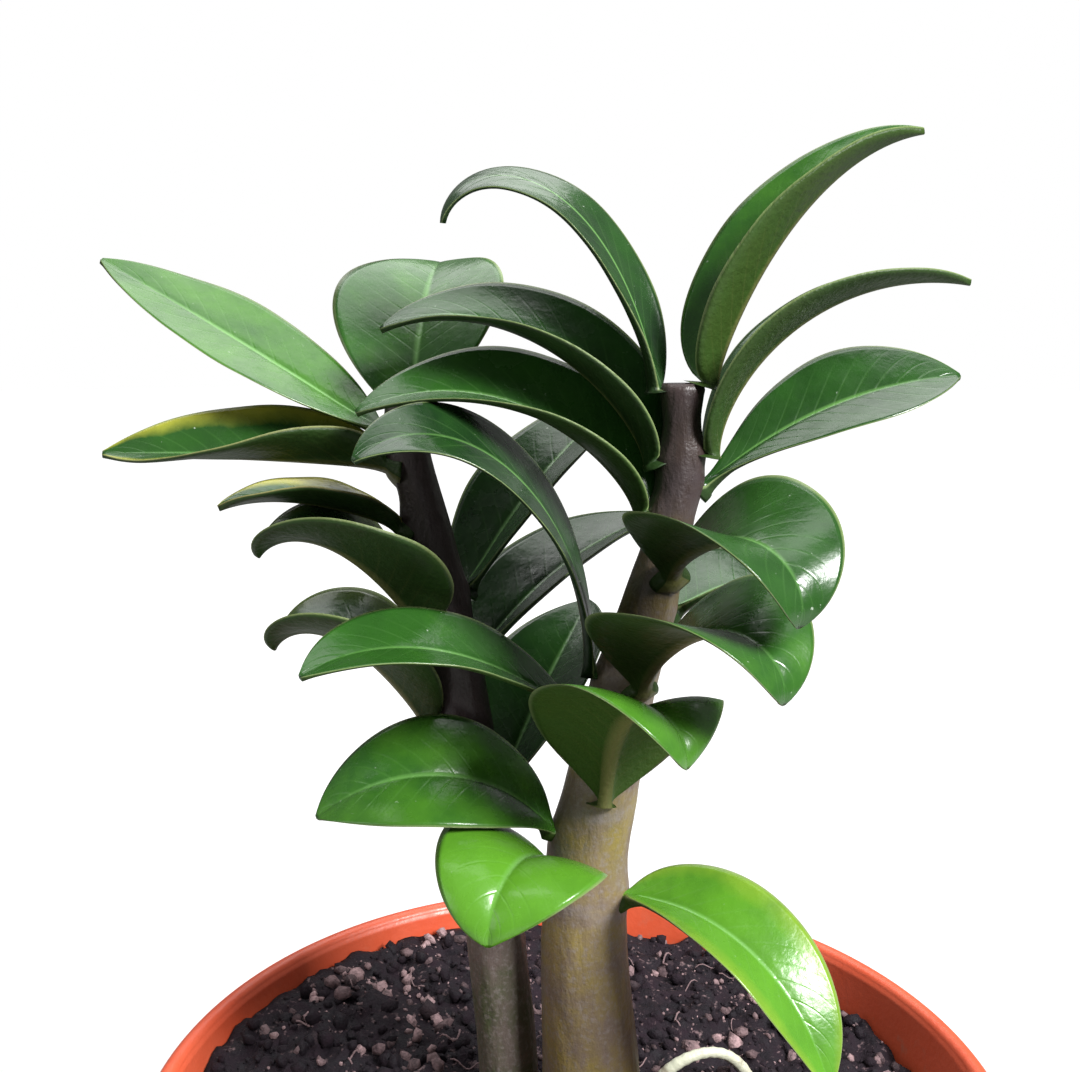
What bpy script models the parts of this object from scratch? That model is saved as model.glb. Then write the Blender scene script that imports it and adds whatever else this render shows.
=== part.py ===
"""A zamioculcas (ZZ plant) in a moulded nursery pot.

Two stems rise from one rhizome in the soil and carry fleshy leaflets. The frame is +Z up with the
origin at the centre of the pot's base, and the plant's open side faces -Y. Blender units are metres.
"""

import math
from collections import namedtuple

import bmesh
import bpy
import numpy as np
from mathutils import Vector, noise

MM = 0.001

# Driving dimensions of the pot.
RIM_RADIUS = 75 * MM
POT_HEIGHT = 130 * MM
COLLAR_HEIGHT = 16 * MM
COLLAR_DRAFT = 0.7 * MM
LIP_WIDTH = 3.4 * MM
WALL = 2.0 * MM
FOOT_RADIUS = 51 * MM
FOOT_WIDTH = 3.5 * MM
FOOT_HEIGHT = 3 * MM
BOSS_RADIUS = 17 * MM
FLOOR_TOP = 5.2 * MM
DRAIN_HOLES = 4
DRAIN_HOLE_RADIUS = 5 * MM
DRAIN_CIRCLE_RADIUS = 32 * MM
POT_STEPS = 48

# Driving dimensions of the soil and of what grows in it.
SOIL_LEVEL = 121 * MM
SOIL_ROUGHNESS = 0.9 * MM
GAP = 0.3 * MM
RHIZOME_CENTRE = (-3 * MM, -1 * MM, 99 * MM)
RHIZOME_SIZE = (24 * MM, 17 * MM, 12 * MM)
ROOT_CENTRE = (24 * MM, 12 * MM, 117 * MM)
ROOT_HALF_SPAN = 10 * MM
ROOT_RISE = 11 * MM
ROOT_RADIUS = 1.0 * MM

# Driving dimensions of the leaflets.
BLADE_THICKNESS = 0.8 * MM
STALK_HALF_WIDTH = 0.9 * MM
TIP_HALF_WIDTH = 0.35 * MM
STALK_STANDOFF = 0.9 * MM
BLADE_SECTIONS = 12
BLADE_STRIPS = 4

# Each stem is a row of stations from its foot to its top: x, y, height and radius in millimetres.
STEMS = {
    "right": (
        (3, -3, 108, 8.0),
        (3, -3, 122, 8.6),
        (3, -3, 134, 8.5),
        (1.5, -4, 158, 7.3),
        (2, -4, 176, 6.8),
        (4, -4, 185, 6.3),
        (7, -4, 201, 5.6),
        (10, -4, 212, 4.9),
        (14.5, -4, 228, 3.8),
        (16.5, -4, 240, 3.2),
        (16.5, -4, 253, 2.8),
    ),
    "left": (
        (-11.5, 5, 108, 5.0),
        (-11.5, 4, 122, 5.3),
        (-12, 3.5, 134, 5.3),
        (-14, 3, 156, 5.2),
        (-17, 3, 181, 5.0),
        (-19.5, 3, 199, 4.6),
        (-22, 3, 215, 4.2),
        (-24.5, 3, 228, 3.8),
        (-27, 3, 238, 3.4),
        (-29, 3, 250, 2.8),
    ),
}

# A leaflet leaves its stem at a height, in the direction heading (degrees, 0 along +X, 90 along +Y),
# which changes by turn on the way to its tip. It starts at the angle rise above level, bends down
# evenly by arch, and by hook more near the tip. roll and twist tilt the blade about its midrib, fold
# lifts its halves from the midrib and curl lifts their edges further. Lengths are in millimetres,
# and broadest is the place of the greatest width along the length.
Leaflet = namedtuple(
    "Leaflet",
    "stem height heading turn rise arch hook roll twist length width broadest"
    " fold_base fold_tip curl_base curl_tip",
)
LEAFLETS = {
    "right_leaflet_01": ("right", 252, 180, 0, 80, 50, 115, -24, 0, 57, 15, 0.45, -5, -10, 50, 0),
    "right_leaflet_02": ("right", 253, 0, 0, 73, 33, 32, 14, 0, 52, 18, 0.38, 50, 25, 20, 10),
    "right_leaflet_03": ("right", 242, 0, 0, 78, 88, 0, -3, 0, 53, 17, 0.4, 15, 10, 20, 10),
    "right_leaflet_04": ("right", 237, 5, 0, 42, 38, 0, 36, 0, 45, 19, 0.62, 15, 10, 10, 0),
    "right_leaflet_05": ("right", 224, -75, 25, 32, 30, 120, 15, -15, 43, 28, 0.45, 40, 5, 15, 0),
    "right_leaflet_06": ("right", 206, -72, 30, 44, 30, 120, 10, -10, 43, 30, 0.45, 35, 5, 15, 0),
    "right_leaflet_07": ("right", 187, -86, 38, 72, 50, 125, -12, 0, 41, 30, 0.5, 35, 20, -35, -30),
    "right_leaflet_08": ("right", 241, 180, 0, 64, 70, 20, -20, 0, 53, 22, 0.42, 30, 5, 30, 10),
    "right_leaflet_09": ("right", 233, 186, 0, 60, 78, 10, -25, 0, 53, 22, 0.42, 30, 5, 30, 10),
    "right_leaflet_10": ("right", 206, 207, 5, 90, 75, 55, -30, 0, 66, 21, 0.48, 0, 5, 0, 10),
    "right_leaflet_11": ("right", 199, 201, 18, 44, 48, 20, -18, 0, 51, 19, 0.5, 12, 8, 10, 10),
    "right_leaflet_12": ("right", 169, -30, -14, 14, 85, 0, 12, 0, 46, 19, 0.45, 25, 15, 10, 0),
    "right_leaflet_13": ("right", 180, 206, -20, 58, 98, 0, -30, 0, 44, 23, 0.5, 20, 10, -10, -20),
    "right_leaflet_14": ("right", 171, 242, 8, 68, 105, 60, -12, 0, 36, 26, 0.52, 30, 15, -35, -30),
    "right_leaflet_15": ("right", 216, 30, 0, 25, 50, 0, 0, 0, 34, 22, 0.42, 15, 10, 20, 10),
    "left_leaflet_01": ("left", 195, 203, -30, 58, 25, 100, 0, 0, 36, 27, 0.52, 35, 15, 20, 10),
    "left_leaflet_02": ("left", 212, 226, -48, 56, 25, 90, 0, 0, 36, 29, 0.48, 30, 15, 15, 10),
    "left_leaflet_03": ("left", 230, 200, 0, 24, 25, 20, 0, 0, 30, 17, 0.42, 12, 10, 20, 10),
    "left_leaflet_04": ("left", 240, 190, 0, 5, 5, 0, 0, -40, 45, 18, 0.42, 60, 10, 10, 10),
    "left_leaflet_05": ("left", 245, 180, 0, 33, 3, 0, -28, 0, 53, 20, 0.5, 10, 5, 5, 0),
    "left_leaflet_06": ("left", 246, 86, 0, 68, 42, 20, 0, 0, 43, 31, 0.5, 20, 10, 15, 0),
    "left_leaflet_07": ("left", 218, 40, 0, 55, 30, 0, 0, 0, 52, 24, 0.42, 15, 10, 20, 10),
    "left_leaflet_08": ("left", 207, 35, 0, 47, 40, 0, 0, 0, 46, 24, 0.42, 15, 10, 20, 10),
    "left_leaflet_09": ("left", 183, 40, 30, 65, 40, 0, 0, 0, 40, 24, 0.42, 15, 10, 20, 10),
}


def clear_scene():
    for old in list(bpy.data.objects):
        bpy.data.objects.remove(old)


def new_collection(name):
    collection = bpy.data.collections.new(name)
    bpy.context.scene.collection.children.link(collection)
    return collection


def new_material(name, colour, roughness):
    material = bpy.data.materials.new(name)
    material.use_nodes = True
    shader = material.node_tree.nodes["Principled BSDF"]
    shader.inputs["Base Color"].default_value = (*colour, 1)
    shader.inputs["Roughness"].default_value = roughness
    shader.inputs["Metallic"].default_value = 0
    return material


def add_object(name, data, collection, material=None):
    piece = bpy.data.objects.new(name, data)
    collection.objects.link(piece)
    if material:
        piece.data.materials.clear()
        piece.data.materials.append(material)
    return piece


def as_mesh_object(piece, name, collection):
    """Replaces a curve, or an object with modifiers, by a welded mesh object of the same shape."""
    bpy.context.view_layer.update()
    evaluated = piece.evaluated_get(bpy.context.evaluated_depsgraph_get())
    mesh = bpy.data.meshes.new_from_object(evaluated)
    bm = bmesh.new()
    bm.from_mesh(mesh)
    bmesh.ops.remove_doubles(bm, verts=bm.verts, dist=0.01 * MM)
    bmesh.ops.recalc_face_normals(bm, faces=bm.faces)
    bm.to_mesh(mesh)
    bm.free()
    solid = add_object(name, mesh, collection)
    solid.matrix_world = piece.matrix_world
    bpy.data.objects.remove(piece)
    return solid


def subtract(piece, cutter):
    cutter.hide_render = True
    cutter.display_type = "WIRE"
    cut = piece.modifiers.new("cut_" + cutter.name, "BOOLEAN")
    cut.operation = "DIFFERENCE"
    cut.solver = "EXACT"
    cut.object = cutter


def turned(name, profile, steps, collection, material=None):
    """Spins a profile of (radius, height) points, whose two ends lie on the axis, about Z."""
    mesh = bpy.data.meshes.new(name)
    edges = [(i, i + 1) for i in range(len(profile) - 1)]
    mesh.from_pydata([(radius, 0, height) for radius, height in profile], edges, [])
    piece = add_object(name, mesh, collection, material)
    spin = piece.modifiers.new("spin", "SCREW")
    spin.steps = steps
    spin.render_steps = steps
    spin.use_merge_vertices = True
    spin.merge_threshold = 0.01 * MM
    return piece


def wall_inner_radius(height):
    """The pot's inside radius, which grows evenly from the floor to the lip."""
    floor_radius = FOOT_RADIUS - WALL
    lip_radius = RIM_RADIUS - LIP_WIDTH
    return floor_radius + (lip_radius - floor_radius) * (height - FLOOR_TOP) / (POT_HEIGHT - FLOOR_TOP)


def pot_profile():
    """From the axis out over the floor, up the inside, over the lip and down the outside."""
    points = [(0, FLOOR_TOP), (FOOT_RADIUS - WALL - 3 * MM, FLOOR_TOP)]
    points.append((wall_inner_radius(FLOOR_TOP + 3 * MM), FLOOR_TOP + 3 * MM))
    lip_radius = LIP_WIDTH / 2
    lip_height = POT_HEIGHT - lip_radius
    points.append((wall_inner_radius(lip_height), lip_height))
    for step in range(1, 6):
        angle = math.pi * (1 - step / 6)
        x = RIM_RADIUS - lip_radius + lip_radius * math.cos(angle)
        points.append((x, lip_height + lip_radius * math.sin(angle)))
    points.append((RIM_RADIUS, lip_height))
    collar_foot = POT_HEIGHT - COLLAR_HEIGHT
    points.append((RIM_RADIUS - COLLAR_DRAFT, collar_foot + MM))
    points.append((RIM_RADIUS - COLLAR_DRAFT - MM, collar_foot))
    points.append((wall_inner_radius(collar_foot) + WALL, collar_foot))
    points.append((wall_inner_radius(FOOT_HEIGHT + 2 * MM) + WALL, FOOT_HEIGHT + 2 * MM))
    points.append((FOOT_RADIUS - MM, 0))
    points.append((FOOT_RADIUS - FOOT_WIDTH, 0))
    points.append((FOOT_RADIUS - FOOT_WIDTH - MM, FOOT_HEIGHT))
    points.append((BOSS_RADIUS + MM, FOOT_HEIGHT))
    points.append((BOSS_RADIUS, 0))
    points.append((0, 0))
    return points


def make_pot(collection, cutters, material):
    pot = turned("pot", pot_profile(), POT_STEPS, collection, material)
    drill = bmesh.new()
    for hole in range(DRAIN_HOLES):
        angle = 2 * math.pi * hole / DRAIN_HOLES
        drilled = bmesh.ops.create_cone(
            drill,
            cap_ends=True,
            segments=12,
            radius1=DRAIN_HOLE_RADIUS,
            radius2=DRAIN_HOLE_RADIUS,
            depth=4 * FLOOR_TOP,
        )
        place = Vector((math.cos(angle), math.sin(angle), 0)) * DRAIN_CIRCLE_RADIUS
        bmesh.ops.translate(drill, verts=drilled["verts"], vec=place)
    mesh = bpy.data.meshes.new("drain_holes")
    drill.to_mesh(mesh)
    drill.free()
    subtract(pot, add_object("drain_holes", mesh, cutters))
    return pot


def soil_height(x, y):
    """The soil lies higher at the back left and slopes down to the right and the front."""
    slope = (y - 1.3 * x) * 0.035
    lumps = noise.noise(Vector((x, y, 0)) / (14 * MM)) * 1.6
    crumbs = noise.noise(Vector((x, y, 5 * MM)) / (5 * MM))
    return SOIL_LEVEL + slope + (lumps + crumbs) * SOIL_ROUGHNESS


def make_soil(collection, material):
    """A turned plug of the pot's inside, whose top is then heaved into an uneven surface."""
    rings = [(0, SOIL_LEVEL)]
    for share in (0.18, 0.34, 0.5, 0.65, 0.79, 0.91):
        rings.append((share * (wall_inner_radius(SOIL_LEVEL) - GAP), SOIL_LEVEL))
    for height in (SOIL_LEVEL, SOIL_LEVEL - 12 * MM, FLOOR_TOP + 3 * MM):
        rings.append((wall_inner_radius(height) - 2 * GAP, height))
    rings.append((FOOT_RADIUS - WALL - 3 * MM - GAP, FLOOR_TOP + GAP))
    rings.append((0, FLOOR_TOP + GAP))
    soil = as_mesh_object(turned("soil_blank", rings, 40, collection), "soil", collection)
    for vertex in soil.data.vertices:
        if vertex.co.z > SOIL_LEVEL - MM:
            level = soil_height(vertex.co.x, vertex.co.y)
            radius = math.hypot(vertex.co.x, vertex.co.y)
            room = (wall_inner_radius(level) - 2 * GAP) / max(radius, MM)
            if radius > 0.99 * (wall_inner_radius(SOIL_LEVEL) - 2 * GAP):
                vertex.co.x *= room
                vertex.co.y *= room
            vertex.co.z = level
    soil.data.materials.append(material)
    return soil


def make_rhizome(name, swell, collection, material=None):
    """A potato-like underground stem: a squashed sphere with shallow lumps."""
    mesh = bpy.data.meshes.new(name)
    bm = bmesh.new()
    bmesh.ops.create_uvsphere(bm, u_segments=16, v_segments=8, radius=1)
    for vertex in bm.verts:
        lump = 1 + 0.08 * noise.noise(vertex.co * 1.7)
        for axis in range(3):
            vertex.co[axis] *= lump * (RHIZOME_SIZE[axis] + swell)
    bm.to_mesh(mesh)
    bm.free()
    rhizome = add_object(name, mesh, collection, material)
    rhizome.location = RHIZOME_CENTRE
    return rhizome


def make_tube(name, stations, swell, sides, collection, material=None):
    """A round solid through stations of (point, radius), as a curve with a bevel."""
    curve = bpy.data.curves.new(name, "CURVE")
    curve.dimensions = "3D"
    curve.bevel_depth = 1
    curve.bevel_resolution = sides // 2 - 2
    curve.use_fill_caps = True
    curve.twist_mode = "MINIMUM"
    spline = curve.splines.new("POLY")
    spline.points.add(len(stations) - 1)
    for control, (point, radius) in zip(spline.points, stations):
        control.co = (*point, 1)
        control.radius = radius + swell
    return as_mesh_object(add_object(name + "_curve", curve, collection), name, collection)


def stem_stations(stem):
    return [(Vector((x, y, z)) * MM, radius * MM) for x, y, z, radius in STEMS[stem]]


def make_stem(stem, collection, material):
    piece = make_tube(stem + "_stem", stem_stations(stem), 0, 16, collection)
    piece.data.materials.append(material)
    return piece


def root_stations():
    """An arch that rises out of the soil and dips back into it."""
    stations = []
    for step in range(13):
        angle = math.pi * (1 - step / 12)
        x = ROOT_HALF_SPAN * math.cos(angle)
        z = ROOT_RISE * math.sin(angle)
        y = 0.25 * x
        stations.append((Vector(ROOT_CENTRE) + Vector((x, y, z)), ROOT_RADIUS))
    return stations


def stem_at(stem, height):
    """The stem's centre and radius at a height in millimetres."""
    stations = np.array(STEMS[stem], float)
    x, y, radius = (np.interp(height, stations[:, 2], stations[:, k]) for k in (0, 1, 3))
    return Vector((x, y, height)) * MM, radius * MM


def blade_half_width(leaf, t):
    """Oval, broadest at its own place, drawn out into a stalk at one end and a point at the other."""
    fall = 0.85
    rise = fall * leaf.broadest / (1 - leaf.broadest)
    peak = leaf.broadest**rise * (1 - leaf.broadest) ** fall
    oval = t**rise * (1 - t) ** fall / peak * leaf.width * MM / 2
    least = STALK_HALF_WIDTH + (TIP_HALF_WIDTH - STALK_HALF_WIDTH) * t
    return math.hypot(oval, least)


def blade_frame(leaf, t):
    """Forward, sideways and upper-side directions of the midrib at t, from 0 at the stem to 1."""
    slope = math.radians(leaf.rise - leaf.arch * t - leaf.hook * t**4)
    heading = math.radians(leaf.heading + leaf.turn * t)
    roll = math.radians(leaf.roll + leaf.twist * t)
    level = Vector((math.cos(heading), math.sin(heading), 0))
    forward = level * math.cos(slope) + Vector((0, 0, math.sin(slope)))
    upper = Vector((0, 0, math.cos(slope))) - level * math.sin(slope)
    side = upper.cross(forward)
    return (
        forward,
        side * math.cos(roll) + upper * math.sin(roll),
        upper * math.cos(roll) - side * math.sin(roll),
    )


def blade_point(leaf, t, across):
    """Sideways and upward reach of the blade at across, from -1 at one edge to 1 at the other."""
    fold = math.radians(leaf.fold_base + (leaf.fold_tip - leaf.fold_base) * t)
    curl = math.radians(leaf.curl_base + (leaf.curl_tip - leaf.curl_base) * t)
    steps = 8
    reach = blade_half_width(leaf, t) * abs(across) / steps
    sideways = 0
    upward = 0
    for step in range(steps):
        angle = fold + curl * abs(across) * (step + 0.5) / steps
        sideways += reach * math.cos(angle)
        upward += reach * math.sin(angle)
    return math.copysign(sideways, across), upward


def make_leaflet(name, leaf, collection, material):
    """An open blade, placed section by section along its bending midrib, then thickened."""
    foot, radius = stem_at(leaf.stem, leaf.height)
    heading = math.radians(leaf.heading)
    outward = Vector((math.cos(heading), math.sin(heading), 0))
    midrib = foot + outward * (radius + STALK_STANDOFF)
    bm = bmesh.new()
    rows = []
    substeps = 8
    for section in range(BLADE_SECTIONS + 1):
        t = section / BLADE_SECTIONS
        if section:
            for substep in range(substeps):
                between = (section - 1 + (substep + 0.5) / substeps) / BLADE_SECTIONS
                forward = blade_frame(leaf, between)[0]
                midrib = midrib + forward * leaf.length * MM / BLADE_SECTIONS / substeps
        forward, side, upper = blade_frame(leaf, t)
        row = []
        for strip in range(BLADE_STRIPS + 1):
            sideways, upward = blade_point(leaf, t, 2 * strip / BLADE_STRIPS - 1)
            row.append(bm.verts.new(midrib + side * sideways + upper * upward))
        rows.append(row)
    for near, far in zip(rows, rows[1:]):
        for strip in range(BLADE_STRIPS):
            bm.faces.new((near[strip], far[strip], far[strip + 1], near[strip + 1]))
    mesh = bpy.data.meshes.new(name)
    bm.to_mesh(mesh)
    bm.free()
    mesh.shade_smooth()
    piece = add_object(name, mesh, collection, material)
    shell = piece.modifiers.new("thickness", "SOLIDIFY")
    shell.thickness = BLADE_THICKNESS
    shell.offset = -1
    return piece


def build():
    clear_scene()
    plant = new_collection("potted_zz_plant")
    cutters = new_collection("cutters")
    terracotta = new_material("terracotta_plastic", (0.50, 0.10, 0.03), 0.45)
    earth = new_material("potting_soil", (0.03, 0.02, 0.025), 0.95)
    stalk = new_material("stem_skin", (0.10, 0.09, 0.05), 0.55)
    tuber = new_material("rhizome_skin", (0.35, 0.26, 0.15), 0.7)
    pale_root = new_material("root_skin", (0.45, 0.45, 0.36), 0.6)
    leaf_green = new_material("leaf", (0.04, 0.16, 0.02), 0.3)

    make_pot(plant, cutters, terracotta)
    soil = make_soil(plant, earth)
    rhizome = make_rhizome("rhizome", 0, plant, tuber)
    subtract(soil, make_rhizome("rhizome_room", 2 * GAP, cutters))
    for stem in STEMS:
        make_stem(stem, plant, stalk)
        room = make_tube(stem + "_stem_room", stem_stations(stem), GAP, 16, cutters)
        subtract(soil, room)
        subtract(rhizome, room)
    root = make_tube("surface_root", root_stations(), 0, 8, plant)
    root.data.materials.append(pale_root)
    subtract(soil, make_tube("surface_root_room", root_stations(), GAP, 8, cutters))
    for name, row in LEAFLETS.items():
        make_leaflet(name, Leaflet(*row), plant, leaf_green)


build()
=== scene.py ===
"""A zamioculcas (ZZ plant) in a moulded terracotta nursery pot: the finished surfaces.

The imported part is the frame. Each section builds one piece, or one group of like pieces, from the
camera and the pot up through the soil and the stems to the leaflets. Units are metres.
"""

import math
from collections import namedtuple

import bmesh
import bpy
import numpy as np
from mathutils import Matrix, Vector, noise


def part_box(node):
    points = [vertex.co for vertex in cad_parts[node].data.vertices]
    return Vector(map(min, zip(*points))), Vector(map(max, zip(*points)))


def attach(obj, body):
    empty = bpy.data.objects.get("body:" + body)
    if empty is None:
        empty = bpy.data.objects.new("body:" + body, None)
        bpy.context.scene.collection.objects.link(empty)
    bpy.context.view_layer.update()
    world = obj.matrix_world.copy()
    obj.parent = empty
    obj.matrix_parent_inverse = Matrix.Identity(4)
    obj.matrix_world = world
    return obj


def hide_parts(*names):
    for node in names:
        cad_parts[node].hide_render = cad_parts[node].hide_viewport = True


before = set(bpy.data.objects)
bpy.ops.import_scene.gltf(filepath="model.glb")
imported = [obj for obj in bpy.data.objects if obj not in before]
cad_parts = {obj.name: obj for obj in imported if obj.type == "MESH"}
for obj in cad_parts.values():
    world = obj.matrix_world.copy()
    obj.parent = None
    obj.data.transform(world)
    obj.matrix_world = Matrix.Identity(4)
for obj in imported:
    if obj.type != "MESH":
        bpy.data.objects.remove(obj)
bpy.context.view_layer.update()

# Camera
# It stands close in front of the pot, a little above the top leaflets' height, and looks down at
# them slightly, so the plant fills the view and the front of the pot drops out of it.
camera_data = bpy.data.cameras.new("camera")
camera_data.lens = 40
camera_data.sensor_width = 36
camera_data.clip_start = 0.01
camera = bpy.data.objects.new("camera", camera_data)
camera.location = (0, -0.1942, 0.2605)
camera.rotation_euler = (math.radians(90 - 9.52), 0, math.radians(1.78))
bpy.context.scene.collection.objects.link(camera)
bpy.context.scene.camera = camera

# Pot
# A nursery pot moulded in one piece from terracotta-coloured plastic. Its wall drafts out to a tall
# collar with a rolled lip, and it stands on a ring foot with four drain holes in the floor.
MM = 0.001
POT_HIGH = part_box("pot")[1]
RIM_RADIUS = POT_HIGH.x
POT_HEIGHT = POT_HIGH.z
COLLAR_HEIGHT = 16 * MM
COLLAR_DRAFT = 0.7 * MM
LIP_WIDTH = 3.4 * MM
WALL = 2.0 * MM
FOOT_RADIUS = 51 * MM
FOOT_WIDTH = 3.5 * MM
FOOT_HEIGHT = 3 * MM
BOSS_RADIUS = 17 * MM
FLOOR_TOP = 5.2 * MM
DRAIN_HOLES = 4
DRAIN_HOLE_RADIUS = 5 * MM
DRAIN_CIRCLE_RADIUS = 32 * MM
POT_STEPS = 192
POT_RED = (0.52, 0.066, 0.024, 1)
POT_PALE = (0.62, 0.150, 0.075, 1)
POT_DUST = (0.30, 0.170, 0.120, 1)


def add_node(tree, kind, values, **settings):
    """Adds a shader node. A value is a number or colour for that input, or a socket to link to it."""
    made = tree.nodes.new(kind)
    for name, value in settings.items():
        setattr(made, name, value)
    for socket, value in values.items():
        if isinstance(value, bpy.types.NodeSocket):
            tree.links.new(value, made.inputs[socket])
        else:
            made.inputs[socket].default_value = value
    return made


def maths(tree, operation, first, second=0.0):
    return add_node(tree, "ShaderNodeMath", {0: first, 1: second}, operation=operation).outputs[0]


def blend_colours(tree, mask, first, second):
    mixed = add_node(tree, "ShaderNodeMix", {0: mask, 6: first, 7: second}, data_type="RGBA")
    return mixed.outputs[2]


def between(tree, value, low, high, out_low=0.0, out_high=1.0):
    """Maps a value's range from low to high onto the range from out_low to out_high."""
    spread = {"Value": value, "From Min": low, "From Max": high, "To Min": out_low, "To Max": out_high}
    return add_node(tree, "ShaderNodeMapRange", spread).outputs[0]


def start_material(name, roughness, **constants):
    material = bpy.data.materials.new(name)
    material.use_nodes = True
    shader = material.node_tree.nodes["Principled BSDF"]
    shader.inputs["Roughness"].default_value = roughness
    for socket, value in constants.items():
        shader.inputs[socket.replace("_", " ")].default_value = value
    return material, material.node_tree, shader


def plug(tree, shader, **sockets):
    for name, value in sockets.items():
        tree.links.new(value, shader.inputs[name.replace("_", " ")])


def start_group(name, inputs, outputs):
    group = bpy.data.node_groups.new(name, "ShaderNodeTree")
    for label, kind in inputs:
        group.interface.new_socket(name=label, in_out="INPUT", socket_type="NodeSocket" + kind)
    for label, kind in outputs:
        group.interface.new_socket(name=label, in_out="OUTPUT", socket_type="NodeSocket" + kind)
    return group, group.nodes.new("NodeGroupInput"), group.nodes.new("NodeGroupOutput")


def make_blotches():
    """Soft patches: 0 between them and 1 inside. Size is how far apart they lie."""
    inputs = (("Place", "Vector"), ("Size", "Float"), ("Amount", "Float"), ("Softness", "Float"))
    group, given, result = start_group("blotches", inputs, (("Mask", "Float"),))
    scale = maths(group, "DIVIDE", 1.0, given.outputs["Size"])
    cloud = add_node(
        group,
        "ShaderNodeTexNoise",
        {"Vector": given.outputs["Place"], "Scale": scale, "Detail": 4.0, "Roughness": 0.6},
    )
    start = maths(group, "SUBTRACT", 1.0, given.outputs["Amount"])
    past = maths(group, "SUBTRACT", cloud.outputs[0], start)
    soft = maths(group, "DIVIDE", past, given.outputs["Softness"])
    mask = maths(group, "ADD", soft, 0.5)
    clamped = add_node(group, "ShaderNodeClamp", {"Value": mask})
    group.links.new(clamped.outputs[0], result.inputs["Mask"])
    return group


def make_grain():
    """A fine height that a Bump node reads: small bumps over slow waves."""
    inputs = (("Place", "Vector"), ("Size", "Float"))
    group, given, result = start_group("grain", inputs, (("Height", "Float"),))
    scale = maths(group, "DIVIDE", 1.0, given.outputs["Size"])
    fine = add_node(
        group,
        "ShaderNodeTexNoise",
        {"Vector": given.outputs["Place"], "Scale": scale, "Detail": 3.0, "Roughness": 0.55},
    )
    slow = add_node(
        group,
        "ShaderNodeTexNoise",
        {"Vector": given.outputs["Place"], "Scale": maths(group, "MULTIPLY", scale, 0.12)},
    )
    height = maths(group, "ADD", fine.outputs[0], slow.outputs[0])
    group.links.new(height, result.inputs["Height"])
    return group


BLOTCHES = make_blotches()
GRAIN = make_grain()


def blotches(tree, place, size, amount, softness=0.12):
    given = {"Place": place, "Size": size, "Amount": amount, "Softness": softness}
    made = tree.nodes.new("ShaderNodeGroup")
    made.node_tree = BLOTCHES
    for socket, value in given.items():
        if isinstance(value, bpy.types.NodeSocket):
            tree.links.new(value, made.inputs[socket])
        else:
            made.inputs[socket].default_value = value
    return made.outputs["Mask"]


def grain(tree, place, size):
    made = tree.nodes.new("ShaderNodeGroup")
    made.node_tree = GRAIN
    tree.links.new(place, made.inputs["Place"])
    made.inputs["Size"].default_value = size
    return made.outputs["Height"]


def bumped(tree, height, distance, strength=1.0, under=None):
    values = {"Height": height, "Distance": distance, "Strength": strength}
    if under is not None:
        values["Normal"] = under
    return add_node(tree, "ShaderNodeBump", values).outputs[0]


def place_of(tree):
    """The surface point in the frame's own metres."""
    return add_node(tree, "ShaderNodeTexCoord", {}).outputs["Object"]


def height_of(tree, place):
    return add_node(tree, "ShaderNodeSeparateXYZ", {0: place}).outputs["Z"]


def add_piece(name, mesh, materials, slot, *nodes):
    """Adds a finished mesh that stands for the CAD nodes and rides with the one body."""
    for material in materials:
        mesh.materials.append(material)
    piece = bpy.data.objects.new(name, mesh)
    bpy.context.scene.collection.objects.link(piece)
    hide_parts(*nodes)
    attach(piece, "root")
    return piece


def wall_inner_radius(height):
    """The pot's inside radius, which grows evenly from the floor to the lip."""
    floor_radius = FOOT_RADIUS - WALL
    lip_radius = RIM_RADIUS - LIP_WIDTH
    return floor_radius + (lip_radius - floor_radius) * (height - FLOOR_TOP) / (POT_HEIGHT - FLOOR_TOP)


def rounded(points, radius, steps=4):
    """Replaces each inner corner of a profile by a short arc-like curve."""
    smooth = [points[0]]
    for before, corner, after in zip(points, points[1:], points[2:]):
        before, corner, after = Vector(before), Vector(corner), Vector(after)
        start = corner + (before - corner).normalized() * min(radius, (before - corner).length * 0.45)
        end = corner + (after - corner).normalized() * min(radius, (after - corner).length * 0.45)
        for step in range(steps + 1):
            t = step / steps
            smooth.append(tuple(start * (1 - t) ** 2 + corner * 2 * t * (1 - t) + end * t * t))
    smooth.append(points[-1])
    return smooth


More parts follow.
